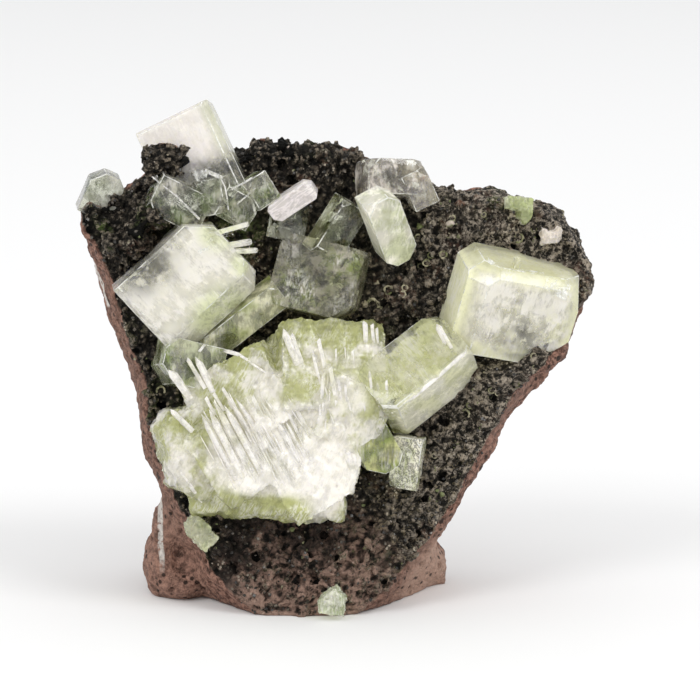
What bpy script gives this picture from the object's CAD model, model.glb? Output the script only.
import math
import random

import bpy
import numpy as np
from mathutils import Euler, Matrix, Vector


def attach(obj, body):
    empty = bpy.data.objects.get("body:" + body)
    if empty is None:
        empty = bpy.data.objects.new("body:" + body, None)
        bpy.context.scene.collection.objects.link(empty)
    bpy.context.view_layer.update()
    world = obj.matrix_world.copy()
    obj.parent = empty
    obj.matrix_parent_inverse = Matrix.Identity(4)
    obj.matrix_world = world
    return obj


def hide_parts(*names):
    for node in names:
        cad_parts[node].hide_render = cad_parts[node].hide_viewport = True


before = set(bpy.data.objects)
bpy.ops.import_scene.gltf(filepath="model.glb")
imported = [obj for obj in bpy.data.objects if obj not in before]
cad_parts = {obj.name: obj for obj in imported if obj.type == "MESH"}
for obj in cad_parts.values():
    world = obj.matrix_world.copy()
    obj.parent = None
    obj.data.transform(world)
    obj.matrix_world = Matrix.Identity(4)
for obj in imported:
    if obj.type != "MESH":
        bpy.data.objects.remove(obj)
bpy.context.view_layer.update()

# Where the specimen stands: a sheet of white paper under soft even light, seen through a long lens
# from a little above. Lengths below are in millimetres, as on the specimen's own drawing, and SHIFT
# brings that drawing to the middle of the base.
MM = 0.001
SHIFT = Vector((0.3, -3, 0))


def at(point):
    """A point of the drawing in metres, in the specimen's place."""
    return (Vector(point) + SHIFT) * MM


def placed(name, data):
    """A new object in the scene."""
    made = bpy.data.objects.new(name, data)
    bpy.context.scene.collection.objects.link(made)
    return made


camera = placed("camera", bpy.data.cameras.new("camera"))
camera.location = at((3.2, -640.1, 166.6))
camera.rotation_euler = (math.radians(80), 0, 0)
camera.data.lens = 156.8
camera.data.sensor_width = 36
camera.data.clip_start = 0.05
camera.data.clip_end = 20
bpy.context.scene.camera = camera
bpy.context.scene.view_settings.view_transform = "Standard"

world = bpy.data.worlds.new("studio")
world.use_nodes = True
daylight = world.node_tree.nodes["Background"].inputs
daylight["Color"].default_value = (0.98, 0.99, 1, 1)
daylight["Strength"].default_value = 0.87
bpy.context.scene.world = world


def lamp(name, place, aim, size, power):
    """A square soft box that shines from its place towards a point."""
    light = placed(name, bpy.data.lights.new(name, "AREA"))
    light.location = at(place)
    light.rotation_euler = (at(aim) - at(place)).to_track_quat("-Z", "Y").to_euler()
    light.data.size = size * MM
    light.data.energy = power


lamp("soft_box_left", (-1800, -2200, 2400), (0, 0, 50), 1400, 34)
lamp("soft_box_right", (2200, -1600, 2400), (0, 0, 50), 1400, 36)

bpy.ops.object.select_all(action="DESELECT")
bpy.ops.mesh.primitive_circle_add(vertices=96, radius=6, fill_type="NGON", location=(0, 0, 0))
floor = bpy.context.object
floor.name = "floor"
paper = bpy.data.materials.new("white_paper")
paper.use_nodes = True
paper_look = paper.node_tree.nodes["Principled BSDF"].inputs
paper_look["Base Color"].default_value = (0.9, 0.895, 0.89, 1)
paper_look["Roughness"].default_value = 0.9
paper_look["Specular IOR Level"].default_value = 0.1
floor.data.materials.append(paper)


# The rock: a lump of basalt broken from the wall of a gas cavity. Its front is the cavity's dark,
# knobbly lining with green and cream crusts. Its sides and back are pink-brown basalt full of small
# bubbles, broken rough, and it stands on a worn flat base.
class Value:
    """A socket of a material. Arithmetic on it adds the Math nodes."""

    def __init__(self, finish, socket):
        self.finish = finish
        self.socket = socket

    def maths(self, operation, first, second):
        return self.finish.node("ShaderNodeMath", {"operation": operation}, {0: first, 1: second})

    def __add__(self, other):
        return self.maths("ADD", self, other)

    __radd__ = __add__

    def __sub__(self, other):
        return self.maths("SUBTRACT", self, other)

    def __rsub__(self, other):
        return self.maths("SUBTRACT", other, self)

    def __mul__(self, other):
        return self.maths("MULTIPLY", self, other)

    __rmul__ = __mul__

    def most(self, other):
        return self.maths("MAXIMUM", self, other)

    def size(self):
        return self.maths("ABSOLUTE", self, 0)

    def rise(self, low, high):
        """0 below low and 1 above high, smooth between them."""
        settings = {"interpolation_type": "SMOOTHSTEP"}
        return self.finish.node("ShaderNodeMapRange", settings, {0: self, 1: low, 2: high, 3: 0, 4: 1})


class Finish:
    """A material being mixed. Every pattern in it comes from node()."""

    def __init__(self, name):
        self.material = bpy.data.materials.new(name)
        self.material.use_nodes = True
        self.tree = self.material.node_tree
        self.shader = self.tree.nodes["Principled BSDF"]
        self.output = self.tree.nodes["Material Output"]
        self.place = self.node("ShaderNodeTexCoord", output="Object")

    def node(self, kind, settings=None, inputs=None, output=0):
        made = self.tree.nodes.new(kind)
        for name, value in (settings or {}).items():
            setattr(made, name, value)
        for name, value in (inputs or {}).items():
            if isinstance(value, Value):
                self.tree.links.new(value.socket, made.inputs[name])
            else:
                made.inputs[name].default_value = value
        return Value(self, made.outputs[output])

    def noise(self, scale, detail=3, roughness=0.5, distortion=0, place=None):
        inputs = {"Vector": place or self.place, "Scale": scale, "Detail": detail, "Roughness": roughness,
                  "Distortion": distortion}
        return self.node("ShaderNodeTexNoise", None, inputs)

    def cells(self, scale):
        return self.node("ShaderNodeTexVoronoi", None, {"Vector": self.place, "Scale": scale})

    def colours(self, share, first, second):
        """Two colours mixed: all first where share is 0, all second where it is 1."""
        inputs = {0: share, 6: first if isinstance(first, Value) else (*first, 1),
                  7: second if isinstance(second, Value) else (*second, 1)}
        return self.node("ShaderNodeMix", {"data_type": "RGBA"}, inputs, 2)

    def layers(self, base, *layers):
        """Colours laid over a first one. A layer is (share, colour)."""
        for share, colour in layers:
            base = self.colours(share, base, colour)
        return base

    def near(self, point, reach, soft=0.5):
        """1 round a point of the drawing, falling to 0 at a distance in millimetres."""
        inputs = {0: self.place, 1: at(point)}
        away = self.node("ShaderNodeVectorMath", {"operation": "DISTANCE"}, inputs, "Value")
        return away.rise(reach * MM, reach * soft * MM)

    def spots(self, soft, *places):
        """1 round any of some points of the drawing. Each is (x, y, z, reach)."""
        share = None
        for x, y, z, reach in places:
            spot = self.near((x, y, z), reach, soft)
            share = spot if share is None else share.most(spot)
        return share

    def along(self, axis, place=None):
        return self.node("ShaderNodeSeparateXYZ", None, {0: place or self.place}, axis)

    def turned(self, centre, turn):
        """Coordinates along a crystal's own edges, in metres from its middle."""
        inputs = {"Vector": self.place, "Location": at(centre),
                  "Rotation": [math.radians(angle) for angle in turn]}
        return self.node("ShaderNodeMapping", {"vector_type": "TEXTURE"}, inputs)

    def stretched(self, scale, place):
        return self.node("ShaderNodeMapping", None, {"Vector": place, "Scale": scale})

    def bump(self, height, depth, below=None):
        """A bump of a depth in millimetres where height goes from 0 to 1."""
        inputs = {"Height": height, "Distance": depth * MM, "Strength": 1}
        if below:
            inputs["Normal"] = below
        return self.node("ShaderNodeBump", None, inputs)

    def threads(self, local, size, thin=0.10):
        """Fine pale fibres along a crystal: 1 on a fibre and 0 between them."""
        long = self.stretched((1, 1, 0.16), local)
        return (self.noise(size, 4, 0.6, 0.4, long) - 0.5).size().rise(thin, 0)

    def put(self, **sockets):
        for name, value in sockets.items():
            socket = self.shader.inputs[name.replace("_", " ")]
            if isinstance(value, Value):
                self.tree.links.new(value.socket, socket)
            else:
                socket.default_value = value


def only(piece):
    """Selects one piece and nothing else."""
    bpy.ops.object.select_all(action="DESELECT")
    piece.select_set(True)
    bpy.context.view_layer.objects.active = piece


def apply_modifiers(piece):
    only(piece)
    for modifier in list(piece.modifiers):
        bpy.ops.object.modifier_apply(modifier=modifier.name)


def joined(name, shapes):
    """Shapes kept apart in one piece."""
    only(shapes[0])
    for shape in shapes:
        shape.select_set(True)
    if len(shapes) > 1:
        bpy.ops.object.join()
    shapes[0].name = name
    return shapes[0]


def inside(across, up, outline):
    """How far points of the front view lie inside an outline, below zero outside it."""
    nearest = np.full(len(across), np.inf)
    within = np.zeros(len(across), bool)
    for (ax, az), (bx, bz) in zip(outline, outline[1:] + outline[:1]):
        run_x, run_z = bx - ax, bz - az
        share = np.clip(((across - ax) * run_x + (up - az) * run_z) / (run_x ** 2 + run_z ** 2), 0, 1)
        nearest = np.minimum(nearest, np.hypot(across - ax - share * run_x, up - az - share * run_z))
        if run_z:
            within ^= ((az > up) != (bz > up)) & (across < ax + (up - az) / run_z * run_x)
    return np.where(within, nearest, -nearest)


def smooth(low, high, value):
    share = np.clip((value - low) / (high - low), 0, 1)
    return share * share * (3 - 2 * share)


# LINING is the outline of the dark lining, seen from the front, and COVERED the parts of it behind
# crystals, which stay coarse. LUMPS are rounded ends of the rim and the foot: middle and half size.
LINING = (
    (-56, 84), (-52.5, 80), (-48, 71), (-43.5, 54), (-41, 49), (-40, 41), (-37.5, 33),
    (-35.5, 27), (-33, 21), (-29, 15), (-26, 8), (-17, 0), (-16, -9), (2, -9),
    (3, -1), (9.5, 3), (20, 15), (27, 25.5), (32.5, 36), (38.5, 46.5), (46.5, 57),
    (53, 64), (56, 72), (52, 84), (30, 95), (0, 105), (-40, 105),
)
LUMPS = (
    ((-35.4, -4, 94.8), (5.6, 5.2, 4.4)), ((-52, 0, 81.5), (2.4, 4, 4.6)),
    ((43.4, -9.2, 53.4), (3.4, 6.8, 2.8)), ((39.8, -9, 51.9), (4.4, 6, 2.5)),
    ((33.6, -9, 50.4), (4, 5.6, 2.2)), ((46.7, -4, 55.2), (3.4, 8, 3.4)),
    ((-43.6, -6, 77.5), (5, 6.5, 4.6)), ((-38.5, -5, 83.5), (5, 6, 3.6)),
    ((-36.9, 3, 6.6), (5.2, 9, 8.4)), ((-33, 0.5, 3.4), (7.4, 8, 4.2)), ((-36.3, 2.5, 13.5), (3.7, 7, 7)),
)
COVERED = (
    ((-34, 28), (-30, 24), (-2, 22), (2, 30), (10, 36), (22, 44), (30, 54), (24, 58), (12, 52), (8, 57),
     (-8, 57), (-30, 52)),
    ((29, 58), (45, 60), (47, 71), (31, 75)),
    ((-41, 61), (-30, 62), (-20, 70), (-22, 79), (-40, 70)),
)
THIN_EDGE = (-20.2, -17.4, 4.8)
ROCK_GRID = 1.22
LINING_CUTS = 2
RIND_CUTS = 1

rock = placed("basalt_rock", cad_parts["matrix"].data.copy())
rock.data.materials.clear()
only(rock)
bpy.ops.object.mode_set(mode="EDIT")
bpy.ops.mesh.select_all(action="SELECT")
bpy.ops.mesh.remove_doubles(threshold=0.00001)
bpy.ops.object.mode_set(mode="OBJECT")
lumps = []
for middle, half in LUMPS:
    bpy.ops.object.select_all(action="DESELECT")
    bpy.ops.mesh.primitive_ico_sphere_add(subdivisions=3, radius=1, location=at(middle))
    lumps.append(bpy.context.object)
    lumps[-1].scale = Vector(half) * MM
    bpy.ops.object.transform_apply(location=True, rotation=True, scale=True)
joined("basalt_rock", [rock] + lumps)
even = rock.modifiers.new("even_faces", "REMESH")
even.mode = "VOXEL"
even.voxel_size = ROCK_GRID * MM
ease = rock.modifiers.new("ease_edges", "SMOOTH")
ease.factor = 0.5
ease.iterations = 3
apply_modifiers(rock)


def faces_of(piece):
    """Middles and normals of a piece's faces, places in millimetres of the drawing."""
    middles, normals = np.empty((2, len(piece.data.polygons) * 3))
    piece.data.polygons.foreach_get("center", middles)
    piece.data.polygons.foreach_get("normal", normals)
    return middles.reshape(-1, 3) / MM - np.array(SHIFT), normals.reshape(-1, 3)


def points_of(piece):
    """Places, in millimetres of the drawing, and normals of a piece's points."""
    places, normals = np.empty((2, len(piece.data.vertices) * 3))
    piece.data.vertices.foreach_get("co", places)
    piece.data.vertex_normals.foreach_get("vector", normals)
    return places.reshape(-1, 3) / MM - np.array(SHIFT), normals.reshape(-1, 3)


def choose_faces(piece, chosen):
    """Starts an edit of a piece with some of its faces selected. chosen is a yes or no for each."""
    only(piece)
    bpy.context.tool_settings.mesh_select_mode = (False, False, True)
    bpy.ops.object.mode_set(mode="EDIT")
    bpy.ops.mesh.select_all(action="DESELECT")
    bpy.ops.object.mode_set(mode="OBJECT")
    piece.data.polygons.foreach_set("select", chosen)
    bpy.ops.object.mode_set(mode="EDIT")


def cut_finer(piece, chosen, cuts):
    choose_faces(piece, chosen)
    bpy.ops.mesh.subdivide(number_cuts=cuts)
    bpy.ops.object.mode_set(mode="OBJECT")


middles, normals = faces_of(rock)
in_lining = inside(middles[:, 0], middles[:, 2], LINING) > -1
seen_rind = (normals[:, 1] < 0.15) & ~in_lining & (middles[:, 1] < 6)
cut_finer(rock, seen_rind, RIND_CUTS)
middles, normals = faces_of(rock)
in_lining = inside(middles[:, 0], middles[:, 2], LINING) > -1
in_lining &= (normals[:, 1] < 0.1) & (middles[:, 2] > 0.4)
for outline in COVERED:
    in_lining &= inside(middles[:, 0], middles[:, 2], outline) < 0
cut_finer(rock, in_lining, LINING_CUTS)


def weigh(piece, name, weights):
    """A vertex group that says how much a push moves each point."""
    group = piece.vertex_groups.new(name=name)
    for number, weight in enumerate(weights.tolist()):
        if weight > 0.001:
            group.add([number], weight, "REPLACE")


# Points of the flat base stay put, and those round one thin edge move little, or it would fold over.
places, normals = points_of(rock)
lined = smooth(-0.6, 0.8, inside(places[:, 0], places[:, 2], LINING)) * smooth(0.35, -0.05, normals[:, 1])
from_thin_edge = np.linalg.norm(places - np.array(THIN_EDGE), axis=1)
free = smooth(0.2, 2, places[:, 2]) * (0.15 + 0.85 * smooth(2.5, 6, from_thin_edge))
mask = rock.data.attributes.new("lining", "FLOAT", "POINT")
mask.data.foreach_set("value", lined.astype(np.float32))
weigh(rock, "lining_relief", lined * free)
weigh(rock, "knob_relief", lined * free * (1 - 0.6 * smooth(18, 34, places[:, 0])))
weigh(rock, "broken_relief", (1 - lined) * free)


def relief(piece, name, kind, size, strength, area="", level=0.5, stops=(), guide=None, **settings):
    """Pushes a piece's skin in or out by a pattern, over one of its areas or along a guide."""
    pattern = bpy.data.textures.new(name, kind)
    pattern.noise_scale = size * MM
    for key, value in settings.items():
        setattr(pattern, key, value)
    if stops:
        pattern.use_color_ramp = True
        pattern.color_ramp.interpolation = "EASE"
        for stop, (position, height) in zip(pattern.color_ramp.elements, stops):
            stop.position = position
            stop.color = (height, height, height, 1)
    push = piece.modifiers.new(name, "DISPLACE")
    push.texture = pattern
    push.texture_coords = "OBJECT" if guide else "LOCAL"
    push.texture_coords_object = guide
    push.direction = "NORMAL"
    push.strength = strength * MM
    push.mid_level = level
    push.vertex_group = area


relief(rock, "swells", "CLOUDS", 6, 3.6, "lining_relief", noise_depth=1)
relief(rock, "knobs", "VORONOI", 3.8, 2.3, "knob_relief", 0.55, ((0, 1), (0.75, 0)))
relief(rock, "small_knobs", "VORONOI", 1.4, 1, "knob_relief", 0.55, ((0, 1), (0.8, 0)))
relief(rock, "bubbles", "VORONOI", 5.2, 1.8, "lining_relief", 1, ((0.16, 0), (0.26, 1)))
relief(rock, "grit", "CLOUDS", 0.8, 0.5, "lining_relief", noise_depth=2)
relief(rock, "breaks", "CLOUDS", 7, 1.6, "broken_relief", noise_depth=3, noise_type="HARD_NOISE")
relief(rock, "rind_bubbles", "VORONOI", 3.2, 1.1, "broken_relief", 1, ((0.12, 0), (0.22, 1)))
relief(rock, "rind_grit", "CLOUDS", 1, 0.5, "broken_relief", noise_depth=2)
apply_modifiers(rock)
for point in rock.data.vertices:
    point.co.z = max(0, point.co.z)
only(rock)
bpy.ops.object.shade_smooth()

stone = Finish("basalt")
lining = stone.node("ShaderNodeAttribute", {"attribute_name": "lining"}, None, "Fac")
ragged = (lining + (stone.noise(260, 4, 0.7) - 0.5) * 0.9).rise(0.35, 0.65)
pointy = stone.node("ShaderNodeNewGeometry", output="Pointiness")
raised = pointy.rise(0.50, 0.58)
hollow = pointy.rise(0.50, 0.42)
brown = stone.noise(85, 4, 0.65, 0.3).rise(0.52, 0.64) * stone.noise(650, 3, 0.6).rise(0.42, 0.60)
patch = stone.noise(60, 4, 0.6, 0.5).rise(0.54, 0.64) * stone.noise(700, 3, 0.6).rise(0.42, 0.58)
moss = stone.spots(0.3, (-26, -8, 83.5, 8), (-49, -4, 81, 4), (-43, -10, 60, 6), (33.5, -5, 87.5, 5),
                   (-20, -4, 80, 9)).most(stone.near((-4, -4, 96), 6, 0.3) * 0.7)
shade = stone.noise(42, 3, 0.6, 0.3).rise(0.56, 0.44)
paler = stone.along("X").rise(0.004, 0.026) * stone.noise(620, 6, 0.8).rise(0.49, 0.58)
pits = stone.cells(760).rise(0.34, 0.22) * stone.noise(230, 4, 0.7).rise(0.42, 0.54)
specks = stone.cells(1000).rise(0.34, 0.20) * stone.noise(170, 4, 0.6).rise(0.50, 0.62)
veins = (stone.noise(330, 2, 0.5, 0.8) - 0.5).size().rise(0.020, 0.006)
veined = stone.spots(0.3, (21, -12, 20, 26), (2, -14, 10, 16))
foot = stone.near((-6, -16, 5), 24, 0.5) * stone.noise(420, 6, 0.75).rise(0.38, 0.54)
under = stone.spots(0.4, (-20, -14, 16, 12), (-5, -14, 18, 12), (-22, -14, 10, 8))
red = stone.near((26.6, -1, 90.6), 6.5, 0.5) * stone.noise(500, 4).rise(0.40, 0.55)
dark = stone.layers(
    stone.colours(stone.noise(900, 4, 0.7).rise(0.42, 0.66), (0.004, 0.003, 0.002), (0.105, 0.088, 0.066)),
    (brown * 0.8, (0.120, 0.062, 0.042)),
    (patch * 0.8, (0.070, 0.090, 0.030)),
    (moss * stone.noise(500, 4, 0.7).rise(0.40, 0.54) * 0.95, (0.090, 0.130, 0.032)),
    (shade * 0.7, (0.007, 0.006, 0.004)),
    (paler * 0.85, (0.55, 0.47, 0.375)),
    (raised * stone.noise(1300, 3, 0.7).rise(0.42, 0.58) * 0.8, (0.34, 0.28, 0.21)),
    (pits * 0.9, (0.004, 0.003, 0.002)),
    (specks * 0.9, (0.66, 0.58, 0.46)),
    (veins * veined * 0.75, (0.26, 0.21, 0.13)),
    (foot * 0.9, (0.41, 0.265, 0.205)),
    (under * stone.noise(200, 3).rise(0.35, 0.5) * 0.85, (0.008, 0.006, 0.005)),
    (hollow * 0.95, (0.003, 0.003, 0.002)),
    (red * 0.9, (0.30, 0.115, 0.070)))
rind_pits = stone.cells(420).rise(0.26, 0.14).most(stone.cells(230).rise(0.20, 0.14))
rind = stone.layers(
    stone.colours(stone.noise(700, 6, 0.8).rise(0.40, 0.60), (0.090, 0.042, 0.030), (0.46, 0.255, 0.188)),
    (stone.noise(45, 3, 0.5).rise(0.40, 0.65) * 0.5, (0.29, 0.175, 0.130)),
    (stone.near((22, 0, 5), 16, 0.4) * 0.7, (0.66, 0.44, 0.34)),
    (stone.near((-34, 0, 7), 16, 0.4) * 0.25, (0.56, 0.34, 0.26)),
    (rind_pits * stone.noise(120, 2).rise(0.40, 0.50) * 0.9, (0.022, 0.015, 0.012)),
    (hollow * 0.8, (0.030, 0.018, 0.014)))
CALCITE_VEINS = (((-37.4, 4.5, 12.4), -2, 0.0007, 0.0080), ((-49.9, 3.4, 67.6), -22, 0.0006, 0.0045))
for centre, turn, half_width, half_length in CALCITE_VEINS:
    vein_place = stone.turned(centre, (0, turn, 0))
    across_it = (stone.along("X", vein_place) + stone.noise(150, 3) * 0.0016 - 0.0008).size()
    along_it = stone.along("Z", vein_place).size()
    vein = across_it.rise(half_width, half_width * 0.6) * along_it.rise(half_length * 1.2, half_length)
    vein = vein * stone.near(centre, half_length * 1500, 0.8)
    rind = stone.colours(vein * stone.noise(900).rise(0.30, 0.45), rind, (0.80, 0.74, 0.68))
stone.put(Base_Color=stone.colours(ragged, rind, dark), Roughness=0.62 - ragged * raised * 0.25)
stone.put(Specular_IOR_Level=0.18)
stone.put(Normal=stone.bump(stone.noise(1500, 4, 0.7), 0.8, stone.bump(stone.cells(1300), 0.6)))
rock.data.materials.append(stone.material)
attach(rock, "root")
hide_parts("matrix")


# Small things on the rock: pale rings that line old bubbles, crumbs of cream and green crust, and
# thousands of dark glittering grains that the lining is made of.

# Lines that look for a piece's skin start at this depth, well in front of the specimen.
FRONT = -80


def put_on(piece, across, up, sink, margin):
    """Where a line from the front meets a piece's lining, a little under its skin, and the way it
    faces there. margin is how far inside the lining's outline it has to be."""
    hit, place, normal, face = piece.ray_cast(at((across, FRONT, up)), (0, 1, 0))
    if hit and inside(np.array([across]), np.array([up]), LINING)[0] > margin:
        return place - normal * sink * MM, normal
    return None, None


def copies(name, model, places):
    """Copies of a small shape set on a surface, joined. A place is (point, normal, size, roll, flatness)."""
    made = []
    for point, normal, size, roll, flat in places:
        turn = normal.to_track_quat("Z", "Y") @ Euler((0, 0, roll)).to_quaternion()
        mesh = model.data.copy()
        mesh.transform(Matrix.LocRotScale(point, turn, Vector((1, 1, flat)) * size * MM))
        made.append(placed(name, mesh))
    bpy.data.objects.remove(model, do_unlink=True)
    return joined(name, made)


def jolt(model, amount, seed):
    """Moves a small shape's points about, so that it looks broken."""
    chance = random.Random(seed)
    for point in model.data.vertices:
        point.co *= 1 + chance.uniform(-amount, amount)


chance = random.Random(3)
bpy.ops.object.select_all(action="DESELECT")
bpy.ops.mesh.primitive_torus_add(major_radius=1, minor_radius=0.22, major_segments=14, minor_segments=6)
ring = bpy.context.object
jolt(ring, 0.14, 7)
RINGS = (
    (22.9, 74.6, 0.75), (38.7, 78.1, 0.95), (11.4, 66.8, 0.9), (8, 63.4, 1.3), (27.6, 41.4, 0.9),
    (18.2, 71.6, 0.6), (19.3, 72.6, 0.7), (42, 80, 0.6), (24, 78.4, 0.5), (14.8, 67.4, 0.6),
    (28.4, 43.2, 0.6), (-36.8, 46, 0.9), (33.6, 76.6, 0.5), (17.6, 77.8, 0.7), (46, 70, 0.6),
    (31.4, 83, 0.5), (24.8, 82.2, 0.6), (33, 46.6, 0.6),
)
LOOSE_RINGS = 36
loose = tuple((chance.uniform(8, 50), chance.uniform(28, 88), chance.uniform(0.3, 0.7))
              for number in range(LOOSE_RINGS))
rings = []
for across, up, size in RINGS + loose:
    point, normal = put_on(rock, across, up, 0.05, 0.5)
    if point:
        rings.append((point, Vector((0, -1, 0.1)) + normal * 0.6, size, chance.uniform(0, 6), 0.9))
crust = Finish("crust")
crust_tone = crust.noise(260, 4, 0.6)
crust_colour = crust.colours(crust_tone.rise(0.40, 0.60), (0.42, 0.38, 0.26), (0.16, 0.17, 0.07))
crust_colour = crust.colours(crust.noise(900, 4, 0.7).rise(0.5, 0.65), crust_colour, (0.05, 0.04, 0.03))
crust.put(Base_Color=crust_colour, Roughness=0.6, Specular_IOR_Level=0.3)
crust.put(Normal=crust.bump(crust.noise(2500), 0.2))


def settle(piece, finish, slot, *nodes):
    """The finish, the body and the names that every piece is given."""
    piece.data.materials.clear()
    piece.data.materials.append(finish.material)
    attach(piece, "root")
    if nodes:
        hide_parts(*nodes)
    return piece


settle(copies("bubble_rings", ring, rings), crust, "basalt")

bpy.ops.mesh.primitive_ico_sphere_add(subdivisions=1, radius=0.5)
crumb = bpy.context.object
jolt(crumb, 0.30, 9)
CRUMBS = (
    (17.9, 80.2, 1.8), (24.4, 81.2, 2.2), (26.2, 78.2, 1), (9.2, 68.4, 1), (22.6, 24.8, 1.5),
    (21.6, 25.6, 1.2), (30.2, 49.6, 1.2), (6.5, 63.6, 1.9), (9.9, 62.6, 1.4), (12, 67.2, 1.2),
    (-9, 17.5, 1.4), (6, 22, 1.1),
)
LOOSE_CRUMBS = 500
loose = tuple((chance.uniform(-54, 54), chance.uniform(3, 97), chance.uniform(0.3, 0.8))
              for number in range(LOOSE_CRUMBS))
crumbs = []
for across, up, size in CRUMBS + loose:
    point, normal = put_on(rock, across, up, 0.1, 0.3)
    if point:
        crumbs.append((point, normal, size, chance.uniform(0, 6), 0.6))
pale_crust = Finish("pale_crust")
pale_tone = pale_crust.noise(120, 2, 0.6)
pale_colour = pale_crust.colours(pale_tone.rise(0.42, 0.50), (0.30, 0.26, 0.18), (0.14, 0.16, 0.06))
pale_crust.put(Base_Color=pale_crust.colours(pale_tone.rise(0.56, 0.62), pale_colour, (0.55, 0.47, 0.40)),
               Roughness=0.55, Normal=pale_crust.bump(pale_crust.noise(2000, 3), 0.3))
settle(copies("crust_crumbs", crumb, crumbs), pale_crust, "basalt")

bpy.ops.mesh.primitive_cube_add(size=1)
grit = bpy.context.object
jolt(grit, 0.35, 4)
GRAINS = 3200
grits = []
for number in range(GRAINS):
    across, up = chance.uniform(-55, 55), chance.uniform(0.5, 98)
    point, normal = put_on(rock, across, up, 0, 0)
    if point:
        tilted = normal + Vector([chance.uniform(-0.7, 0.7) for axis in range(3)])
        grits.append((point, tilted, chance.uniform(0.25, 0.65), chance.uniform(0, 6), 1))
glitter = Finish("glitter")
glitter_tone = glitter.noise(700, 2).rise(0.5, 0.66)
glitter.put(Base_Color=glitter.colours(glitter_tone, (0.020, 0.017, 0.013), (0.17, 0.14, 0.105)),
            Roughness=glitter.noise(900) * 0.4 + 0.12, Specular_IOR_Level=0.6)
settle(copies("lining_grains", grit, grits), glitter, "basalt")


# The large square crystal at the right: clear yellow-green apophyllite round a milky cloud, its
# corners cut by flat growth faces. It grew out of the cavity wall, which shows through it below, and
# cracks inside it catch the light.
def block(centre, size, turn, cuts, edge=0.16):
    """A cube placed and turned, with corners cut away by flat faces. A cut is (x, y, z signs, depth)."""
    turned = Euler([math.radians(angle) for angle in turn])
    bpy.ops.object.select_all(action="DESELECT")
    bpy.ops.mesh.primitive_cube_add(size=1, location=at(centre), rotation=turned, scale=Vector(size) * MM)
    crystal = bpy.context.object
    bpy.ops.object.transform_apply(location=True, rotation=True, scale=True)
    bpy.ops.object.mode_set(mode="EDIT")
    for x, y, z, deep in cuts:
        corner = Vector((x * size[0], y * size[1], z * size[2])) * 0.5
        outward = Vector((x, y, z)).normalized()
        place = at(centre) + turned.to_matrix() @ (corner - outward * deep) * MM
        bpy.ops.mesh.select_all(action="SELECT")
        bpy.ops.mesh.bisect(plane_co=place, plane_no=turned.to_matrix() @ outward, use_fill=True,
                            clear_outer=True, threshold=1e-7)
    bpy.ops.mesh.select_all(action="SELECT")
    bpy.ops.mesh.bevel(offset=edge * MM, segments=2, affect="EDGES", clamp_overlap=True)
    bpy.ops.object.mode_set(mode="OBJECT")
    return crystal


def prism(foot, tip, width, roll):
    """A slender square crystal from its foot to its sloped tip."""
    start, end = Vector(foot), Vector(tip)
    aim = (end - start).to_track_quat("Z", "Y") @ Euler((0, 0, math.radians(roll))).to_quaternion()
    turn = [math.degrees(angle) for angle in aim.to_euler()]
    tip_faces = ((1, 0, 1, 0.30 * width), (-1, -1, 1, 0.25 * width))
    return block((start + end) * 0.5, (width, width * 0.8, (end - start).length), turn, tip_faces, 0.05)


def grown_together(name, shapes):
    """Crystals that share one body."""
    first = shapes[0]
    for number, other in enumerate(shapes[1:]):
        joint = first.modifiers.new(f"joint_{number}", "BOOLEAN")
        joint.operation = "UNION"
        joint.solver = "EXACT"
        joint.object = other
    apply_modifiers(first)
    for other in shapes[1:]:
        bpy.data.objects.remove(other, do_unlink=True)
    first.name = name
    only(first)
    bpy.ops.object.shade_smooth_by_angle(angle=math.radians(20))
    return first


def weathered(piece, voxel, pushes, angle=30, zones=None):
    """A piece cut into small even faces and roughened. A push is (grain, height, level, guide, zone)."""
    skin = piece.modifiers.new("even", "REMESH")
    skin.mode = "VOXEL"
    skin.voxel_size = voxel * MM
    apply_modifiers(piece)
    for zone, share in (zones or {}).items():
        weigh(piece, zone, share(points_of(piece)[0]))
    for grain, height, level, guide, zone in pushes:
        relief(piece, "grain", "CLOUDS", grain, height, zone, level, guide=guide, noise_depth=3)
    apply_modifiers(piece)
    bpy.ops.object.shade_smooth_by_angle(angle=math.radians(angle))
    return piece


WIDEST_EDGE = 0.35


def shining_edges(name, piece):
    """The narrow faces along a crystal's edges, as thin strips of their own that catch the light."""
    strips = placed(name, piece.data.copy())
    points = strips.data.vertices
    wide = []
    for face in strips.data.polygons:
        rim = sum((points[a].co - points[b].co).length for a, b in face.edge_keys)
        wide.append(not 0 < 2 * face.area / rim / MM < WIDEST_EDGE)
    choose_faces(strips, wide)
    bpy.ops.mesh.delete(type="FACE")
    bpy.ops.object.mode_set(mode="OBJECT")
    wall = strips.modifiers.new("wall", "SOLIDIFY")
    wall.thickness = 0.03 * MM
    wall.offset = 1
    apply_modifiers(strips)
    return strips


def cloud_body(name, centre, size, turn, cuts, inset, lumpy=1.2):
    """The milky cloud inside a crystal: its shape a little smaller, with a soft lumpy skin."""
    less = Vector(size) - Vector((2, 2, 2)) * inset
    body = block(centre, less, turn, cuts, 0.3)
    body.name = name
    return weathered(body, 0.6, ((3, lumpy * 2, 0.75, None, ""),), 180)


def crack(centre, size, turn):
    """A thin curved crack inside a crystal."""
    bpy.ops.object.select_all(action="DESELECT")
    bpy.ops.mesh.primitive_grid_add(x_subdivisions=14, y_subdivisions=14, size=1, location=at(centre),
                                    rotation=[math.radians(angle) for angle in turn])
    sheet = bpy.context.object
    sheet.scale = (size[0] * MM, size[1] * MM, 1)
    bpy.ops.object.transform_apply(location=True, rotation=True, scale=True)
    relief(sheet, "bend", "CLOUDS", 3, 1.6)
    wall = sheet.modifiers.new("wall", "SOLIDIFY")
    wall.thickness = 0.04 * MM
    apply_modifiers(sheet)
    return sheet


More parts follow.
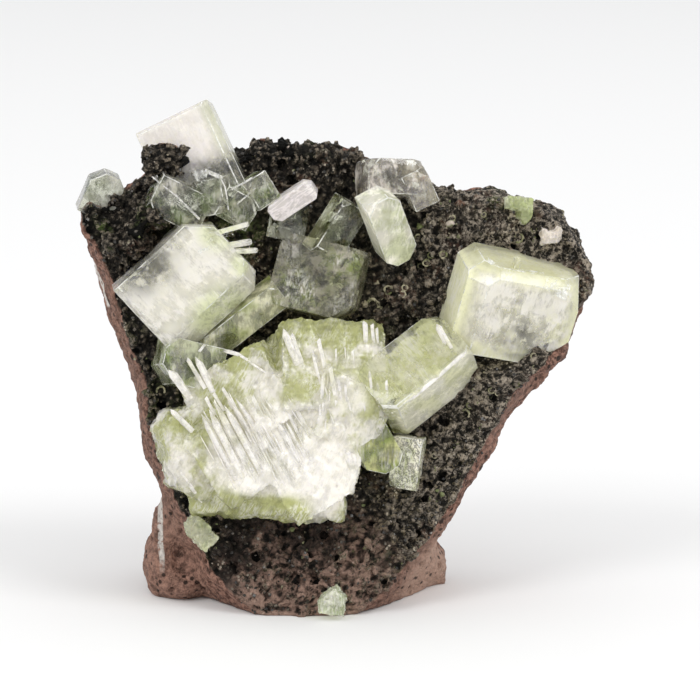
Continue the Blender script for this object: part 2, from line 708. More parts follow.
def milkiness(finish, local, share):
    """How milky a crystal is from place to place: soft clouds torn into fibres, over a share of it."""
    soft = finish.noise(190, 5, 0.62, 0.4, local)
    torn = finish.noise(850, 5, 0.72, 0.5, finish.stretched((1, 1, 0.30), local))
    edge = 0.5 + (0.5 - share) * 0.22
    return (soft * 0.62 + torn * 0.38).rise(edge - 0.07, edge + 0.07)


def crystal_finish(name, growth, milk, leaf, drink=(0.90, 0.91, 0.56), strength=35, gloss=0.04, own=None):
    """Clear crystal that is cloudy where growth(finish, own coordinates) says. It gives the share of
    cloud and how green the cloud is. milk and leaf are the cloud's colours, drink is the colour that
    long paths through the crystal take on and strength how fast."""
    finish = Finish(name)
    local = finish.turned(*own) if own else finish.place
    share, green = growth(finish, local)
    finish.put(Base_Color=(0.98, 0.98, 0.96, 1), Roughness=gloss, IOR=1.54, Transmission_Weight=1)
    lines = finish.noise(1100, 3, 0.6, 0.2, finish.stretched((1, 1, 0.10), local))
    finish.put(Normal=finish.bump(lines, 0.025))
    tint = finish.colours(green, milk, leaf)
    fine = finish.noise(900, 5, 0.75, 0.4).rise(0.46, 0.66)
    tint = finish.colours(fine * (green * 0.35 + 0.12), tint, tuple(0.66 * value for value in leaf))
    tufts = finish.threads(local, 1300) * finish.noise(150, 3).rise(0.44, 0.60)
    tint = finish.colours(tufts * 0.6, tint, (0.93, 0.90, 0.85))
    cloud = finish.node("ShaderNodeBsdfPrincipled", None, {
        "Base Color": tint, "Roughness": 0.25, "Subsurface Weight": 0.35, "Subsurface Radius": (1, 1, 0.7),
        "Subsurface Scale": 0.0012, "Normal": finish.bump(lines, 0.06)})
    glass = Value(finish, finish.shader.outputs[0])
    body = finish.node("ShaderNodeMixShader", None, {0: share, 1: glass, 2: cloud})
    open_to_lamps = finish.node("ShaderNodeBsdfTransparent", None, {0: (0.80, 0.81, 0.72, 1)})
    is_lamp = finish.node("ShaderNodeLightPath", output="Is Shadow Ray")
    surface = finish.node("ShaderNodeMixShader", None, {0: is_lamp, 1: body, 2: open_to_lamps})
    finish.tree.links.new(surface.socket, finish.output.inputs["Surface"])
    inside_it = finish.node("ShaderNodeVolumeAbsorption", None, {"Color": (*drink, 1), "Density": strength})
    finish.tree.links.new(inside_it.socket, finish.output.inputs["Volume"])
    return finish


def cloud_finish(name, growth, milk, leaf, gap, own=None):
    """The milky stuff inside a crystal, with gaps that show what is behind. growth gives how solid it is
    and how green it is."""
    finish = Finish(name)
    local = finish.turned(*own) if own else finish.place
    solid, green = growth(finish, local)
    colour = finish.colours(green, milk, leaf)
    torn = finish.noise(800, 6, 0.75, 0.6, finish.stretched((1, 1, 0.4), local))
    colour = finish.colours(torn.rise(0.50, 0.68) * 0.5, colour, gap)
    colour = finish.colours(finish.threads(local, 1000, 0.08) * 0.5, colour, (0.92, 0.89, 0.84))
    finish.put(Base_Color=colour, Roughness=0.6, Subsurface_Weight=0.4, Subsurface_Scale=0.0012)
    finish.put(Subsurface_Radius=(1, 1, 0.7), Specular_IOR_Level=0.2, Alpha=solid)
    finish.put(Normal=finish.bump(torn, 0.6))
    return finish


MILK = (0.91, 0.875, 0.805)
LEAF = (0.81, 0.80, 0.52)
GAP = (0.50, 0.48, 0.36)

right_cuts = (
    (-1, -1, 0, 2.6), (0, -1, 1, 1.4), (-1, -1, 1, 4.4), (1, -1, 1, 3.4), (1, 0, -1, 4.6), (-1, 0, 1, 2),
)
right_place = ((37, -7, 64.6), (24.2, 15, 19.4), (14, 12, 14))


def right_edge(finish, local):
    """1 along the sides of the crystal, where it is clear and green, and 0 in the middle."""
    x, z = (finish.along(axis, local).size() for axis in ("X", "Z"))
    wander = finish.noise(260, 4, 0.65) * 0.004
    return (x + wander).rise(0.0105, 0.0135).most((z + wander).rise(0.0078, 0.0108))


def right_shell(finish, local):
    edge = right_edge(finish, local)
    left_side = finish.along("X", local).rise(-0.0106, -0.0117)
    share = edge * 0.55 + milkiness(finish, local, 0.5) * (1 - edge) * 0.50 + left_side * 0.28 + 0.16
    top = finish.along("Z", local).rise(0.0080, 0.0092)
    green_foot = finish.spots(0.3, (46, -14, 58.5, 8), (37, -14, 56, 7))
    green = edge.most(green_foot * finish.noise(420, 5, 0.7).rise(0.40, 0.60)) * 0.9
    return share * (1 - finish.near((39, -14, 57.5), 6) * 0.5) * (1 - top * 0.35), green


def right_inside(finish, local):
    edge = right_edge(finish, local)
    holes = finish.near((39.5, -14, 58.5), 7.5, 0.2) * finish.noise(460, 5, 0.65).rise(0.45, 0.56)
    bays = finish.noise(190, 4, 0.6).rise(0.58, 0.68) * 0.3
    return 1 - holes.most(bays) * 0.8, (edge + finish.noise(130, 3).rise(0.5, 0.7) * 0.6).rise(0, 1)


edge_finish = Finish("bright_edges")
edge_white = edge_finish.colours(edge_finish.noise(400), (0.98, 0.97, 0.95), (0.90, 0.90, 0.82))
edge_finish.put(Base_Color=edge_white, Roughness=0.2, Specular_IOR_Level=0.8)
edge_finish.put(Alpha=edge_finish.noise(260, 5, 0.75, 0.6).rise(0.46, 0.58) * 0.7 + 0.03)
crack_finish = Finish("crack")
crack_white = crack_finish.colours(crack_finish.noise(500), (0.97, 0.96, 0.94), (0.82, 0.83, 0.76))
crack_finish.put(Base_Color=crack_white, Roughness=0.2, Specular_IOR_Level=1)
crack_finish.put(Alpha=crack_finish.noise(380, 5, 0.75, 0.6).rise(0.50, 0.66) * 0.8)


def crystal(name, blocks, finish, slot, *nodes, needles=()):
    """Blocks and needles grown together as one piece. A needle is (foot, tip, width, roll)."""
    shapes = [block(*values) for values in blocks] + [prism(*values) for values in needles]
    return settle(grown_together(name, shapes), finish, slot, *nodes)


def rims(name, crystals, slot):
    """The shining edges of some crystals, as one piece."""
    settle(joined(name, [shining_edges(name, piece) for piece in crystals]), edge_finish, slot)


def milky_crystal(name, node, place, cuts, needles, shell, core, milk, leaf, cracks, gap=GAP, inset=0.9,
                  lumpy=1.2, strength=35):
    """A clear crystal round a milky cloud, with bright edges and cracks. shell and core say where the
    crystal and its cloud are milky and green. gap is the colour of the cloud's torn parts."""
    own = (place[0], place[2])
    finish = crystal_finish(name + "_crystal", shell, milk, leaf, strength=strength, own=own)
    piece = crystal(name, [(*place, cuts)], finish, "milky_crystal", node, needles=needles)
    settle(cloud_body(name + "_cloud", *place, cuts, inset, lumpy),
           cloud_finish(name + "_cloud", core, milk, leaf, gap, own), "milky_crystal")
    rims(name + "_edges", [piece], "milky_crystal")
    settle(joined(name + "_cracks", [crack(*sheet) for sheet in cracks]), crack_finish, "milky_crystal")
    return piece


right_needles = (((37.5, -12, 72.4), (37.9, -16, 75.8), 1.2, 20),)
right_cracks = (
    ((46.2, -14.2, 69.4), (5.6, 3.4), (82, 24, 12)), ((45.6, -13.6, 68), (4.6, 2.4), (76, -30, 14)),
    ((30.8, -15, 76.2), (6.6, 0.9), (90, 40, 8)), ((40, -13.6, 72.6), (9, 0.8), (88, 10, 14)),
    ((33, -12.6, 66), (5, 3), (60, 20, -20)),
)
milky_crystal("right_block", "right_block_crystal", right_place, right_cuts, right_needles, right_shell,
              right_inside, MILK, LEAF, right_cracks)


# The large crystal at the left: a thick square plate seen nearly face on, milk-white in the middle,
# green towards its lower right and dark where the rock shows through its upper left. Needles lie
# across its right corner.
left_cuts = ((0, -1, -1, 3.2), (1, 0, 1, 3.2), (1, 0, -1, 2), (-1, -1, 0, 0.9), (1, -1, -1, 4))
left_place = ((-30.7, -7.5, 69.2), (24.4, 13, 20.4), (-3, -42, 8))


def left_dark(finish):
    """1 in the upper left part, where the rock shows through."""
    return finish.near((-40, -14, 75), 11, 0.25)


def left_green(finish):
    lower = finish.near((-21.5, -14, 61.5), 11, 0.5)
    return lower.most(finish.spots(0.4, (-24, -14, 81, 6), (-19, -13, 74, 4)) * 0.8)


def left_shell(finish, local):
    share = milkiness(finish, local, 0.55) * 0.45 + left_green(finish) * 0.20 + 0.22
    return share * (1 - left_dark(finish) * 0.85), left_green(finish)


def left_inside(finish, local):
    holes = left_dark(finish) * finish.noise(380, 5, 0.7).rise(0.36, 0.54)
    return 1 - holes * 0.95, left_green(finish)


left_needles = (
    ((-27.5, -12.5, 79.8), (-17.8, -13, 82.6), 1.2, 0), ((-24, -12, 77.6), (-17.2, -12.6, 78.8), 1.1, 30),
    ((-24, -12, 76.6), (-16, -12.6, 77), 1.1, 10),
)
left_cracks = (
    ((-24, -13.4, 80), (6, 1), (88, -15, 8)), ((-25, -13.2, 78), (7, 0.8), (88, -22, 8)),
    ((-38, -12.8, 67), (4, 2), (75, -50, 8)),
)
large_left = milky_crystal("large_left", "large_left_crystal", left_place, left_cuts, left_needles,
                           left_shell, left_inside, (0.92, 0.885, 0.82), (0.68, 0.71, 0.44), left_cracks,
                           inset=0.6, lumpy=0.8)


# The white crystal that stands up behind the rock's top left corner, milky above and clear where it
# meets the rock.
top_cuts = ((0, -1, 1, 0.5), (1, -1, 0, 1), (-1, 0, -1, 2))
top_place = ((-29.9, 1, 94.4), (16.6, 9, 19.5), (-13, -26, -1))


def top_shell(finish, local):
    x, z = (finish.along(axis, local) for axis in ("X", "Z"))
    up = (z + finish.noise(180, 4, 0.6) * 0.004).rise(-0.003, 0.003)
    green = x.rise(0.0045, 0.0080).most(z.rise(-0.001, -0.006)) * 0.8
    return milkiness(finish, local, 0.5) * 0.15 + up * 0.50 + 0.06, green


def top_inside(finish, local):
    z = finish.along("Z", local)
    up = (z + finish.noise(260, 5, 0.7, 0.5) * 0.014).rise(0.002, 0.007)
    return up, finish.along("X", local).rise(0.004, 0.008) * 0.6


top_cracks = (
    ((-26, -4.6, 91.5), (6, 4), (70, -26, 10)), ((-22.6, -4, 89.5), (5, 3), (60, 30, -20)),
    ((-29, -4.4, 92), (5, 1.2), (80, 20, 0)),
)
milky_crystal("top_white", "top_white_crystal", top_place, top_cuts, (), top_shell, top_inside,
              (0.92, 0.865, 0.83), (0.62, 0.63, 0.47), top_cracks, (0.66, 0.60, 0.56), 0.8, strength=20)


# Clear crystals at the top left: a group of glassy blocks in front of the white crystal, and one on the
# rock's left shoulder. The dark rock and green moss-like mineral show through them, and their edges shine.
def clear_finish(name, least, wisps, milk, leaf, strength=50, drink=(0.86, 0.89, 0.68)):
    """A clear finish: the least share of cloud, how much the clouds add, and the cloud's colours."""
    def growth(finish, local):
        return milkiness(finish, local, 0.4) * wisps + least, finish.noise(160, 3).rise(0.4, 0.6)
    return crystal_finish(name, growth, milk, leaf, drink, strength, 0.02)


def cracks_in(name, blocks, count, seed):
    """Cracks set at random inside blocks, count of them in each, as one piece."""
    chance = random.Random(seed)
    sheets = []
    for centre, size, turn, cuts in blocks:
        for number in range(count):
            place = [middle + chance.uniform(-0.22, 0.22) * side for middle, side in zip(centre, size)]
            small = min(size) * 0.6
            sheets.append(crack(place, (small, small * chance.uniform(0.4, 1)),
                                [chance.uniform(0, 180) for axis in range(3)]))
    settle(joined(name, sheets), crack_finish, "clear_crystal")


upper_left_blocks = (
    ((-32.8, -4.5, 86.4), (12, 8, 8.5), (8, 27, 12), ((1, -1, 1, 1.8), (-1, -1, -1, 1.4))),
    ((-25.6, -4.5, 87.3), (7.5, 7, 7.5), (0, -12, -20), ((1, -1, -1, 1.6), (-1, -1, 1, 1))),
    ((-20.5, -3.5, 85.5), (8, 6, 7), (15, 30, 10), ((1, -1, 1, 1.6),)),
    ((-16.2, -3.5, 88.3), (5.5, 7, 6.5), (-10, -30, 25), ((-1, -1, 1, 1.2),)),
)
upper_left = crystal("upper_left_glass", upper_left_blocks, clear_finish(
    "upper_left_glass", 0.06, 0.50, (0.70, 0.67, 0.55), (0.18, 0.24, 0.07)),
    "clear_crystal", "upper_left_crystals")
rims("upper_left_rims", [upper_left], "clear_crystal")
cracks_in("upper_left_cracks", upper_left_blocks, 2, 1)


def bright(finish, local):
    return finish.noise(500, 4, 0.7).rise(0.42, 0.60) * 0.6 + 0.15, finish.noise(300).rise(0.4, 0.6) * 0.5


BRIGHT_EDGES = (
    ((-38, -9.2, 92), (-33, -9.6, 88), 0.30, 10), ((-33.2, -9.4, 88.2), (-28.1, -9.8, 83.1), 0.42, 30),
    ((-22.2, -8.4, 84.9), (-22.4, -8.4, 87.3), 0.28, 10),
    ((-22.4, -8.4, 87.1), (-22.9, -8.3, 89.8), 0.36, 30), ((-22.8, -8.4, 89.6), (-24, -8.2, 91.9), 0.28, 50),
    ((-23.4, -10, 91.8), (-26.9, -10.5, 93.4), 1, 10), ((-21.5, -7.6, 89), (-17.2, -7.6, 91.6), 0.32, 40),
    ((-20.5, -7.4, 85.9), (-16.4, -7.4, 89.4), 0.28, 40), ((-38.6, -5.8, 93.4), (-37.2, -6.6, 91), 0.9, 20),
)
bright_finish = crystal_finish("bright_edge", bright, (0.90, 0.88, 0.84), (0.72, 0.70, 0.62), strength=10)
settle(joined("upper_left_edges", [prism(*values) for values in BRIGHT_EDGES]), bright_finish,
       "milky_crystal", "upper_left_crystals")
far_left_blocks = (
    ((-49.6, 3.4, 86.9), (7.4, 7, 9.6), (4, 24, 10),
     ((-1, -1, 1, 1.4), (1, -1, 1, 1.2), (-1, 0, 1, 1.8), (1, 0, 1, 1.2))),
)
far_left = crystal("far_left_glass", far_left_blocks, clear_finish(
    "far_left_glass", 0.16, 0.60, (0.60, 0.58, 0.50), (0.10, 0.13, 0.06), 170, (0.80, 0.81, 0.68)),
    "clear_crystal", "far_left_crystal")
rims("far_left_rims", [far_left], "clear_crystal")
cracks_in("far_left_cracks", far_left_blocks, 4, 2)


# The small white prism in the upper middle, and the clear stump that it stands on.
small_white = ((-8.8, -5.6, 86.6), (10.8, 3.8, 4.3), (14, -34, -10),
               ((1, 0, 1, 0.9), (-1, 0, -1, 0.9), (1, 0, -1, 0.5), (-1, 0, 1, 0.5)))
white_stump = ((-9.8, -2.2, 82), (6.4, 6, 8.5), (-6, 14, 22), ((1, -1, 1, 1), (-1, -1, -1, 1)))
small_white_turn = (small_white[2][0], small_white[2][1] + 90, small_white[2][2])


def white_threads(finish, local):
    return finish.threads(local, 900) * 0.3 + 0.65, finish.noise(420, 4, 0.7).rise(0.45, 0.65)


crystal("small_white", [small_white], crystal_finish(
    "small_white", white_threads, (0.82, 0.76, 0.75), (0.68, 0.62, 0.61), strength=10,
    own=(small_white[0], small_white_turn)), "milky_crystal", "small_white_prism")
crystal("white_stump", [white_stump], clear_finish(
    "stump_glass", 0.03, 0.25, (0.62, 0.60, 0.52), (0.20, 0.22, 0.11)), "clear_crystal", "small_white_prism")
cracks_in("stump_cracks", [white_stump], 3, 3)


# The green crystals in the middle: a square dark-green block full of moss-like mineral, a clear prism
# that leans into it from above, and a long green prism at its left.
dark_green = ((-3.4, -3.8, 69.6), (18, 10, 15.5), (-16, 12, -12),
              ((1, -1, 1, 2), (1, 0, -1, 2.6), (-1, -1, -1, 1.6), (-1, 0, 1, 1.6)))
clear_prism = ((0.2, -3.8, 80.2), (6.4, 6, 13), (12, 30, 28),
               ((0, -1, -1, 1.2), (1, 0, 1, 0.8), (-1, -1, 1, 0.9)))
green_prism = ((-19.4, -5.2, 61.4), (20, 6, 6), (12, -38, 4), ((1, -1, 1, 1), (-1, -1, 1, 1)))


def mossy(finish, local):
    tufts = finish.noise(420, 6, 0.75, 0.4).rise(0.38, 0.62)
    patch = finish.spots(0.3, (-9, -9, 66, 9), (2, -9, 74, 6))
    green = (patch + 0.50) * finish.noise(340, 6, 0.7).rise(0.36, 0.64)
    return tufts * 0.40 + patch * tufts * 0.3 + 0.12, green


crystal("dark_green_block", [dark_green], crystal_finish(
    "mossy_glass", mossy, (0.38, 0.35, 0.27), (0.22, 0.25, 0.08), (0.78, 0.77, 0.56), 90),
    "clear_crystal", "middle_green_crystals")
leaning = crystal("clear_prism", [clear_prism], clear_finish(
    "clear_prism_glass", 0.09, 0.28, (0.25, 0.24, 0.15), (0.12, 0.14, 0.05), 130),
    "clear_crystal", "middle_green_crystals")
long_green = crystal("green_prism", [green_prism], clear_finish(
    "green_prism_glass", 0.26, 0.55, (0.82, 0.80, 0.56), (0.34, 0.38, 0.13)),
    "clear_crystal", "middle_green_crystals")
rims("middle_green_rims", [leaning, long_green], "clear_crystal")
cracks_in("dark_green_cracks", [dark_green], 3, 4)
cracks_in("green_prism_cracks", [green_prism, clear_prism], 5, 5)


# The crystals at the top right of the middle: a tilted pale prism that leans out, and clear grey
# blocks behind it.
tilted_prism = ((11, -7.2, 81.4), (7.4, 6.2, 16.5), (20, -26, 16),
                ((-1, -1, 1, 1.4), (1, -1, -1, 1.5), (-1, 0, -1, 1.4), (1, 0, 1, 1.5)))
grey_blocks = (
    ((11.6, -1.6, 90.6), (12.5, 9, 7.5), (-14, 4, 18), ((1, -1, 1, 1.5), (-1, -1, 1, 1.5))),
    ((17.4, -1.6, 88.8), (5.5, 7, 8), (0, -24, 10), ((1, -1, 1, 1.2),)),
)
tilted = crystal("tilted_prism", [tilted_prism], clear_finish(
    "tilted_glass", 0.54, 0.46, (0.93, 0.89, 0.79), (0.58, 0.60, 0.40)),
    "clear_crystal", "upper_right_crystals")
cracks_in("tilted_cracks", [tilted_prism], 5, 6)
grey = crystal("grey_blocks", grey_blocks, clear_finish(
    "grey_glass", 0.16, 0.62, (0.88, 0.80, 0.71), (0.36, 0.32, 0.24), 25),
    "clear_crystal", "upper_right_crystals")
rims("upper_right_rims", [tilted, grey], "clear_crystal")
cracks_in("grey_cracks", grey_blocks, 9, 7)


# The central cluster: blocks grown through each other. The one at the right has clean faces and a
# white ridge. The rest is rough and fibrous, green above and at the foot and milk-white in between.
ridge_block = ((17.3, -10, 50.2), (22, 13, 13), (-46, -35, 17),
               ((-1, -1, -1, 1.6), (1, -1, -1, 1), (-1, 0, -1, 1.6), (1, -1, 1, 2), (0, -1, -1, 0.4)))
left_green_block = ((-31, -8.8, 52), (13, 11, 9.5), (-12, 16, 14), ((-1, -1, 1, 1.4), (-1, 0, -1, 2.4)))
body_blocks = (
    ((-1.6, -8.6, 50.6), (23, 15, 19.5), (-22, 3, 14), ((-1, -1, 1, 1.2), (1, -1, 1, 2), (-1, 0, 1, 1.2))),
    ((2.4, -12.6, 42.6), (15, 12, 14), (-6, 24, 16), ((1, -1, -1, 2.4), (1, 0, -1, 3.6))),
    ((-30, -12, 34), (13, 12, 20), (-6, -12, 18), ((-1, -1, 1, 1.8), (-1, 0, -1, 3), (-1, 0, 1, 2))),
    ((-14, -11.5, 26), (33, 14, 11), (6, 2, -4), ((-1, -1, -1, 2), (1, -1, -1, 2.2), (0, -1, -1, 1.4))),
    ((-5.6, -13.5, 33.6), (19, 14, 22), (-8, -32, 6), ((1, 0, -1, 3.4), (1, -1, 1, 2), (-1, -1, 1, 1.6))),
    ((-19, -11.5, 45), (20, 13, 18), (-12, -30, -8), ((-1, -1, 1, 1.6), (1, -1, 1, 1.6))),
    ((-20, -14.4, 34), (15, 11, 18), (-8, -34, 0), ()),
)
SHEAF_RUN = Vector((11.5, -2.5, -17))
CLUSTER_MILK = (0.875, 0.835, 0.765)


def cluster_white(finish):
    """1 where the cluster is milk-white: its lower middle, and streaks above."""
    sheaf_part = finish.near((-14, -18, 35), 16, 0.45).most(finish.near((-3, -20, 31), 12, 0.5))
    left_part = finish.near((-31, -17, 36), 6, 0.2) * 0.45
    return sheaf_part.most(finish.near((3, -16, 47), 8, 0.1) * 0.8).most(left_part)


def ridge_shell(finish, local):
    under = finish.along("Z", local).rise(-0.0050, -0.0062)
    share = milkiness(finish, local, 0.45) * 0.34 + under * 0.50 + 0.20
    return share, (finish.noise(140, 3).rise(0.40, 0.52) * 0.5 + 0.5) * (1 - under * 0.30)


def ridge_inside(finish, local):
    patches = finish.noise(170, 5, 0.62, 0.6)
    return patches.rise(0.30, 0.42), patches.rise(0.62, 0.46) * 0.8 + 0.1


def cluster_green(finish):
    """1 where the cluster is green: patches away from the white, its top edge and its foot."""
    band = finish.along("Z").rise(0.0285, 0.0235) * finish.along("X").rise(-0.001, -0.009)
    top = finish.along("Z").rise(0.0560, 0.0600)
    patches = (1 - cluster_white(finish)) * finish.noise(130, 4, 0.6).rise(0.40, 0.58)
    return (patches + band + top).rise(0, 1)


def body_shell(finish, local):
    white = cluster_white(finish)
    return milkiness(finish, local, 0.5) * 0.30 + white * 0.32 + 0.40, cluster_green(finish)


def body_inside(finish, local):
    return finish.noise(170, 5, 0.62, 0.6).rise(0.30, 0.42), cluster_green(finish)


ridge = crystal("cluster_ridge", [ridge_block], crystal_finish(
    "ridge_crystal", ridge_shell, CLUSTER_MILK, (0.58, 0.59, 0.31), own=(ridge_block[0], ridge_block[2])),
    "milky_crystal", "center_cluster")
left_green_piece = crystal("cluster_left_green", [left_green_block], clear_finish(
    "left_green_glass", 0.22, 0.45, (0.66, 0.68, 0.46), (0.28, 0.34, 0.11)),
    "milky_crystal", "center_cluster")
rims("cluster_edges", [ridge, left_green_piece], "milky_crystal")
ridge_cloud = cloud_finish("ridge_cloud", ridge_inside, (0.76, 0.74, 0.58), (0.54, 0.55, 0.24), GAP)
settle(cloud_body("cluster_cloud_0", *ridge_block, 0.7), ridge_cloud, "milky_crystal")


def guided(name, run, stretch):
    """A direction that a fibrous texture follows."""
    guide = placed(name, None)
    guide.rotation_euler = Vector(run).to_track_quat("Z", "Y").to_euler()
    guide.scale = (1, 1, stretch)
    return guide


def upper_share(places):
    """1 in the upper right half of the cluster, where fibres stand upright, and 0 in the sheaf."""
    return smooth(-3, 5, (places[:, 2] - 45) * 0.8 + (places[:, 0] + 12) * 0.5)


upright = guided("upper_fibres", (1.5, 0, -10), 5)
down_right = guided("sheaf_fibres", SHEAF_RUN, 7)
zones = {"upper": upper_share, "lower": lambda places: 1 - upper_share(places)}
fibres = ((3.4, 2.2, 0.6, None, ""), (1.3, 0.8, 0.55, upright, "upper"), (0.7, 0.3, 0.5, upright, "upper"),
          (1.8, 1.3, 0.6, down_right, "lower"), (0.8, 0.5, 0.5, down_right, "lower"))
body_own = ((-16, -12, 36), (0, 26, 0))
body = grown_together("cluster_body", [block(*values) for values in body_blocks])
body_core = placed("cluster_body_cloud", body.data.copy())
weathered(body, 0.45, fibres, zones=zones)
settle(body, crystal_finish("body_crystal", body_shell, CLUSTER_MILK, (0.47, 0.48, 0.20), own=body_own),
       "milky_crystal", "center_cluster")
weathered(body_core, 0.7, ((3, 2.6, 1.1, None, ""),), 180)
body_cloud = cloud_finish("body_cloud", body_inside, (0.90, 0.865, 0.80), (0.52, 0.54, 0.20), GAP, body_own)
settle(body_core, body_cloud, "milky_crystal")
bpy.data.objects.remove(upright, do_unlink=True)
bpy.data.objects.remove(down_right, do_unlink=True)


# The sheaf: thin striated prisms, white and glassy, that lie side by side across the lower left of the
# cluster and grow out of it elsewhere. Each is fluted along its length and ends in a sloped tip.
# STICKS are the tip, the foot and the width of single prisms, seen from the front.
STICKS = (
    (-27.6, 43.6, -20.6, 29.7, 1.5), (-26.1, 44.6, -19.1, 30.2, 1.5), (-24.4, 45.3, -17.3, 30.6, 1.5),
    (-22.8, 45.7, -15.2, 31.4, 1.3), (-21.3, 45.9, -15.1, 35.3, 0.9), (-20.5, 47.2, -13.9, 36.6, 0.7),
    (-19, 45.3, -12.6, 34.4, 0.6), (-34.4, 52.4, -30.1, 46.1, 1.7), (-30.8, 54.6, -27.1, 48.2, 1.1),
    (-28.9, 55, -25.3, 47.6, 1.4), (-34.2, 44.2, -29.7, 39.5, 1.3), (-25.3, 47.6, -23, 43.8, 0.9),
    (-26.9, 46.7, -24.9, 42.9, 0.9), (-23.4, 48.9, -20.1, 43.4, 0.9), (-11.6, 42.1, -7.2, 33.2, 0.9),
    (-10.1, 42.5, -6, 34, 0.6), (-8.7, 41.2, -4.7, 33.6, 0.7), (-7.4, 40.8, -6, 37.4, 0.5),
    (-13, 43.8, -7.2, 33.6, 0.6), (-15.1, 46.3, -9.3, 35.7, 0.6), (-17.2, 47.2, -11.8, 37.8, 0.7),
    (-3.4, 58.8, -2, 52.7, 1.1), (-0.9, 53.5, 0.1, 47.6, 1.1), (-2.2, 52.2, -2.6, 46.7, 0.9),
    (0.7, 51, 1.3, 46.3, 0.7), (2.2, 49.7, 2.4, 45.9, 0.6), (-4.7, 56.5, -3.4, 50.6, 0.7),
    (10.7, 50.6, 11.3, 43.8, 0.7), (9, 49.7, 9.4, 44.6, 0.6), (6.3, 62, 6.5, 57.4, 1),
    (7.8, 61.2, 8.2, 57.2, 0.9), (8.8, 60.4, 9, 57, 0.6), (2.4, 36.3, 3.6, 32.1, 1.5),
    (3.8, 35.5, 4.5, 31.9, 0.9), (-14.6, 22.5, -14, 20.4, 0.6), (-30.4, 28.5, -27.7, 24.4, 0.7),
    (-32.3, 31.4, -29, 26.7, 0.6), (-10.7, 61, -7.8, 53.5, 1.5), (-9, 60, -6.8, 53.9, 1.1),
    (21.2, 61.6, 23.3, 57.6, 1.3), (22.4, 60.1, 24.3, 56.7, 0.9),
    (27.2, 56.4, 21.5, 51.2, 0.8), (21.5, 51.4, 16.7, 47.4, 0.8), (16.9, 47.6, 11.9, 43.8, 0.9),
    (-28.3, 55.7, -27.3, 57, 0.7), (-27.6, 57, -25.6, 57, 0.8), (-25.8, 57, -22.7, 56.3, 0.8),
    (-23, 56.5, -19.5, 55.4, 0.8), (-19.8, 55.5, -17.1, 53.9, 0.7), (-17.4, 54, -14.1, 51.8, 0.6),
)
FLUTES = 14
FINE_STICKS = 90
SHORT_STICKS = 24

bpy.ops.object.select_all(action="DESELECT")
bpy.ops.mesh.primitive_cylinder_add(vertices=FLUTES, radius=0.5, depth=1, location=(0, 0, 0.5))
stick = bpy.context.object
bpy.ops.object.transform_apply(location=True)
for point in stick.data.vertices:
    angle = math.atan2(point.co.y, point.co.x)
    squareness = 1 / max(abs(math.cos(angle)), abs(math.sin(angle)))
    step = round(angle / (2 * math.pi) * FLUTES) % 2
    outward = min(1.25, squareness) * (1 - 0.18 * step)
    point.co.x *= outward
    point.co.y *= outward * 0.8
bpy.ops.object.mode_set(mode="EDIT")
for plane_no, height in (((0.3, 0.1, 1), 0.97), ((-0.3, -0.3, 1), 0.985)):
    bpy.ops.mesh.select_all(action="SELECT")
    bpy.ops.mesh.bisect(plane_co=(0, 0, height), plane_no=plane_no, use_fill=True, clear_outer=True,
                        threshold=1e-5)
bpy.ops.object.mode_set(mode="OBJECT")


def skin_at(across, up):
    """How far forward the cluster's skin is at a place of the front view."""
    nearest = None
    for piece in (ridge, left_green_piece, body, large_left):
        hit, place, normal, face = piece.ray_cast(at((across, FRONT, up)), (0, 1, 0))
        depth = place.y / MM - SHIFT.y
        if hit and (nearest is None or depth < nearest):
            nearest = depth
    return nearest


chance = random.Random(5)
fine_sticks = []
for number in range(FINE_STICKS):
    across, up = chance.uniform(-28, -9), chance.uniform(38, 48)
    long = chance.uniform(5, 13)
    lean = chance.uniform(0.45, 0.62)
    fine_sticks.append((across, up, across + long * lean, up - long, chance.uniform(0.22, 0.50)))
for number in range(SHORT_STICKS):
    across, up = chance.uniform(-5, 8), chance.uniform(42, 57)
    long = chance.uniform(1.5, 5)
    foot_across = across + long * chance.uniform(-0.1, 0.35)
    fine_sticks.append((across, up, foot_across, up - long, chance.uniform(0.25, 0.6)))
laid = []
for across, up, foot_across, foot_up, width in STICKS + tuple(fine_sticks):
    foot_depth = skin_at(foot_across, foot_up)
    if foot_depth is None:
        continue
    tip_depth = skin_at(across, up)
    tip_depth = foot_depth if tip_depth is None else min(max(tip_depth, foot_depth - 3), foot_depth + 1)
    run = Vector((across - foot_across, tip_depth - 0.35 * width - foot_depth - 0.35, up - foot_up)) * MM
    turn = run.to_track_quat("Z", "Y") @ Euler((0, 0, chance.uniform(0, 1.5))).to_quaternion()
    mesh = stick.data.copy()
    foot = at((foot_across, foot_depth + 0.35, foot_up))
    mesh.transform(Matrix.LocRotScale(foot, turn, (width * MM, width * MM, run.length)))
    laid.append(placed("sheaf_prisms", mesh))
bpy.data.objects.remove(stick, do_unlink=True)


def stick_shell(finish, local):
    share = finish.noise(420, 4, 0.65).rise(0.34, 0.60) * 0.4 + 0.55
    return share, finish.noise(160, 2).rise(0.5, 0.7) * 0.7


sheaf_colours = ((0.90, 0.86, 0.81), (0.70, 0.68, 0.52))
sheaf_finish = crystal_finish("sheaf_crystal", stick_shell, *sheaf_colours, strength=15)
settle(joined("sheaf_prisms", laid), sheaf_finish, "milky_crystal")


# Two small crystals under the cluster's right end: a deep green one, and a pale speckled one with a
# dark net in it.
lower_green = ((7.8, -12, 35.8), (8.4, 8.6, 11.6), (4, -30, 14), ((1, -1, -1, 1.2), (-1, 0, -1, 2.2)))
small_lower = ((15.5, -10, 31.6), (6.2, 6.5, 11), (-4, 6, -14), ((1, -1, 1, 1), (-1, -1, -1, 1.2)))


def netted(finish, local):
    net = (finish.noise(700, 6, 0.8, 0.6) - 0.5).size().rise(0.01, 0.06)
    return net * 0.7 + 0.16, finish.noise(300).rise(0.4, 0.6)


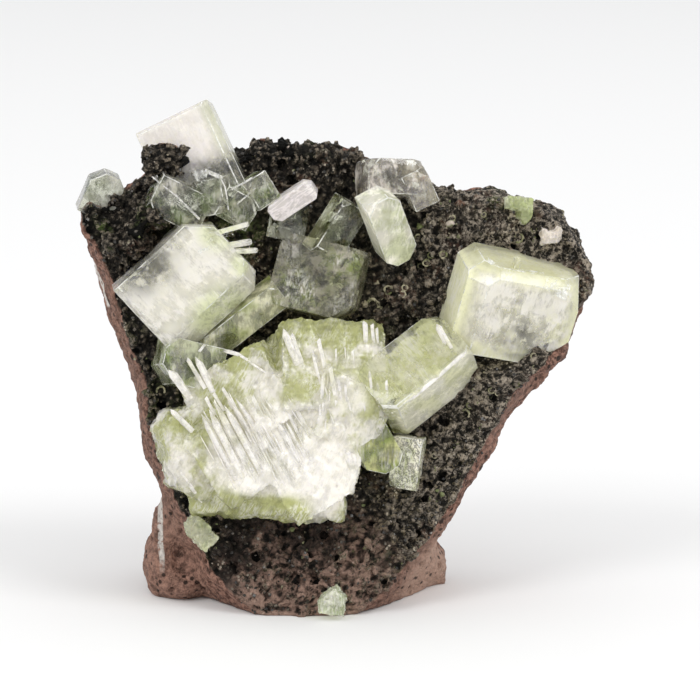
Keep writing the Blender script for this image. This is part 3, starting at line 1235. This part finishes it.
deep_green = crystal("lower_green", [lower_green], clear_finish(
    "lower_green_glass", 0.30, 0.50, (0.66, 0.66, 0.30), (0.30, 0.36, 0.08), 70),
    "clear_crystal", "lower_green_crystal")
speckled = crystal("small_lower", [small_lower], crystal_finish(
    "netted_glass", netted, (0.92, 0.88, 0.74), (0.56, 0.58, 0.34)), "clear_crystal", "small_lower_crystal")
rims("lower_rims", [deep_green, speckled], "clear_crystal")
cracks_in("lower_cracks", [lower_green, small_lower], 4, 8)


# Chips of crystal left where others broke off: pale green at the top right, white beside it, green at
# the lower left, and a greenish triangle on the foot.
CHIPS = (
    ("top_right_chip", (
        ((38.6, -2.6, 85.4), (5.6, 5.5, 2.8), (-10, 8, 12), ()),
        ((39.8, -2.8, 83.4), (2.8, 5, 5), (-10, 14, 12), ((-1, 0, -1, 0.8), (1, 0, -1, 0.8)))),
     (0.86, 0.85, 0.66), (0.52, 0.58, 0.26)),
    ("white_chip", (
        ((45, -4.6, 78.6), (3.6, 3, 2.6), (0, -8, 8), ((1, -1, -1, 0.6), (-1, -1, 1, 0.6))),
        ((47, -4.4, 79.6), (1.2, 2.6, 3), (0, 6, 8), ()),
        ((43.8, -4.6, 80), (1.1, 2.4, 1.4), (0, 20, 0), ())),
     (0.92, 0.84, 0.77), (0.78, 0.68, 0.60)),
    ("lower_left_chip", (
        ((-28.4, -15.6, 17.6), (4.4, 5, 6.8), (0, -42, 20), ((1, -1, 1, 0.9), (-1, 0, 1, 1))),),
     (0.66, 0.66, 0.46), (0.42, 0.46, 0.22)),
    ("bottom_chip", (
        ((-0.4, -20.4, 4.4), (5.8, 4, 5.8), (4, 8, -6), ((-1, 0, 1, 2.2), (1, 0, 1, 1.8))),),
     (0.72, 0.72, 0.58), (0.44, 0.49, 0.30)),
)
for node, parts, milk, leaf in CHIPS:
    chip = grown_together(node + "_piece", [block(*values) for values in parts])
    weathered(chip, 0.3, ((1.6, 1.3, 0.6, None, ""), (0.6, 0.5, 0.5, None, "")), 20)
    settle(chip, clear_finish(node, 0.45, 0.4, milk, leaf), "clear_crystal", node)
